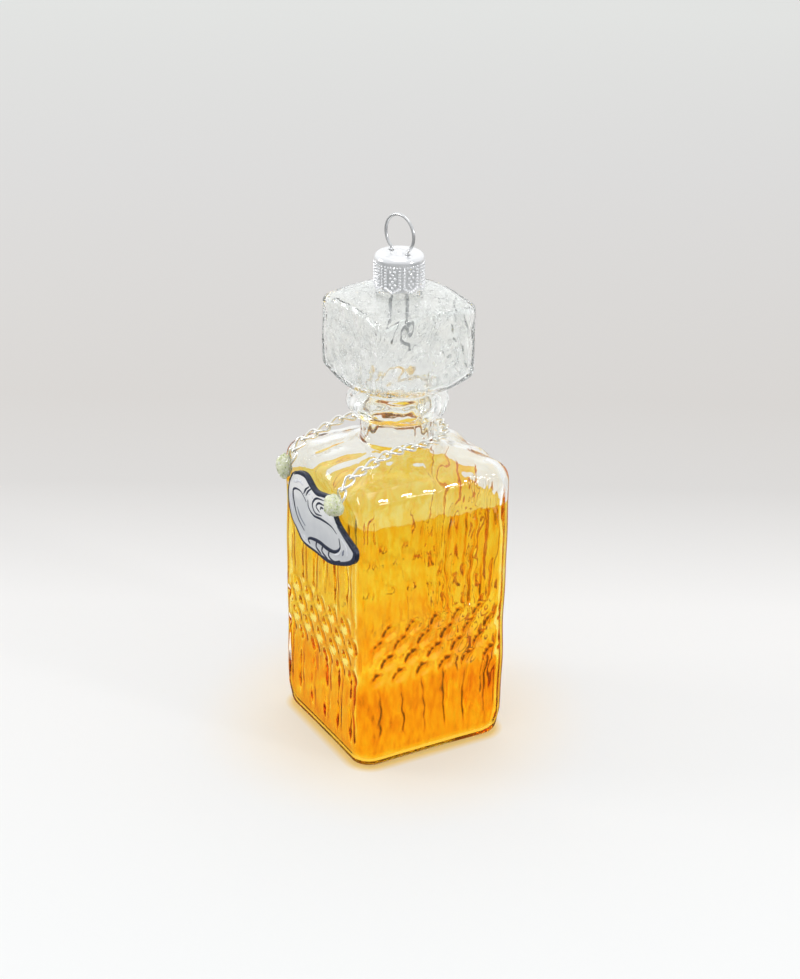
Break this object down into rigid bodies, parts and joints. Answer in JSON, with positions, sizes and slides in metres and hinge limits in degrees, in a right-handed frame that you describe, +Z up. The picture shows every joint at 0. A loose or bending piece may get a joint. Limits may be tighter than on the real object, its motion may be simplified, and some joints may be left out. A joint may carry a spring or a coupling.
{
  "type": "hanging glass decanter",
  "caption": "Hollow blown-glass square decanter with a square stopper head, amber lacquer inside, a cap with a wire hanger and a chain with a blank label.",
  "frame": {"origin": "centre of the flat base, on the surface the decanter stands on, under the bottle's axis", "axes": "+Z up along the bottle's axis, the label hangs on the -Y side, +X to the right when the label is faced"},
  "size_m": [0.0385, 0.0423, 0.1194],
  "materials": {
    "clear_glass": "gloss",
    "amber_lacquer": "gloss",
    "cap_metal": "gloss",
    "spring_wire": "satin",
    "chain_metal": "gloss",
    "printed_plate": "satin",
    "glitter_glue": "satin"
  },
  "bodies": {
    "decanter": {"decanter_glass": "clear_glass", "amber_lacquer": "amber_lacquer", "chain_link_back": "chain_metal", "chain_link_left_01": "chain_metal", "chain_link_right_01": "chain_metal", "chain_link_left_02": "chain_metal", "chain_link_right_02": "chain_metal", "chain_link_left_03": "chain_metal", "chain_link_right_03": "chain_metal", "chain_link_left_04": "chain_metal", "chain_link_right_04": "chain_metal"},
    "cap": {"ornament_cap": "cap_metal"},
    "hanger": {"hanger_wire": "spring_wire"},
    "chain_pair_05": {"chain_link_left_05": "chain_metal", "chain_link_right_05": "chain_metal"},
    "chain_pair_06": {"chain_link_left_06": "chain_metal", "chain_link_right_06": "chain_metal"},
    "chain_pair_07": {"chain_link_left_07": "chain_metal", "chain_link_right_07": "chain_metal"},
    "chain_pair_08": {"chain_link_left_08": "chain_metal", "chain_link_right_08": "chain_metal"},
    "chain_pair_09": {"chain_link_left_09": "chain_metal", "chain_link_right_09": "chain_metal"},
    "chain_pair_10": {"chain_link_left_10": "chain_metal", "chain_link_right_10": "chain_metal"},
    "chain_pair_11": {"chain_link_left_11": "chain_metal", "chain_link_right_11": "chain_metal"},
    "label": {"chain_link_left_12": "chain_metal", "chain_link_right_12": "chain_metal", "label_plate": "printed_plate", "glitter_bead_left": "glitter_glue", "glitter_bead_right": "glitter_glue"}
  },
  "joints": [
    {"name": "cap_pull", "type": "slide", "parent": "decanter", "child": "cap", "axis": [0, 0, 1], "range_m": [0, 0.03]},
    {"name": "hanger_slide", "type": "slide", "parent": "cap", "child": "hanger", "axis": [0, 0, 1], "range_m": [0, 0.018]},
    {"name": "chain_bend_05", "type": "hinge", "parent": "decanter", "child": "chain_pair_05", "pos_m": [0, 0.00154, 0.07122], "axis": [-1, 0, 0], "range_deg": [0, 8]},
    {"name": "chain_bend_06", "type": "hinge", "parent": "chain_pair_05", "child": "chain_pair_06", "pos_m": [0, -0.00166, 0.07122], "axis": [-1, 0, 0], "range_deg": [0, 8]},
    {"name": "chain_bend_07", "type": "hinge", "parent": "chain_pair_06", "child": "chain_pair_07", "pos_m": [0, -0.00486, 0.07122], "axis": [-1, 0, 0], "range_deg": [0, 8]},
    {"name": "chain_bend_08", "type": "hinge", "parent": "chain_pair_07", "child": "chain_pair_08", "pos_m": [0, -0.00803, 0.07105], "axis": [-1, 0, 0], "range_deg": [0, 8]},
    {"name": "chain_bend_09", "type": "hinge", "parent": "chain_pair_08", "child": "chain_pair_09", "pos_m": [0, -0.01103, 0.06996], "axis": [-1, 0, 0], "range_deg": [0, 8]},
    {"name": "chain_bend_10", "type": "hinge", "parent": "chain_pair_09", "child": "chain_pair_10", "pos_m": [0, -0.01404, 0.06886], "axis": [-1, 0, 0], "range_deg": [0, 8]},
    {"name": "chain_bend_11", "type": "hinge", "parent": "chain_pair_10", "child": "chain_pair_11", "pos_m": [0, -0.01703, 0.06772], "axis": [-1, 0, 0], "range_deg": [0, 8]},
    {"name": "label_swing", "type": "hinge", "parent": "chain_pair_11", "child": "label", "pos_m": [0, -0.01924, 0.06548], "axis": [-1, 0, 0], "range_deg": [0, 15]}
  ]
}
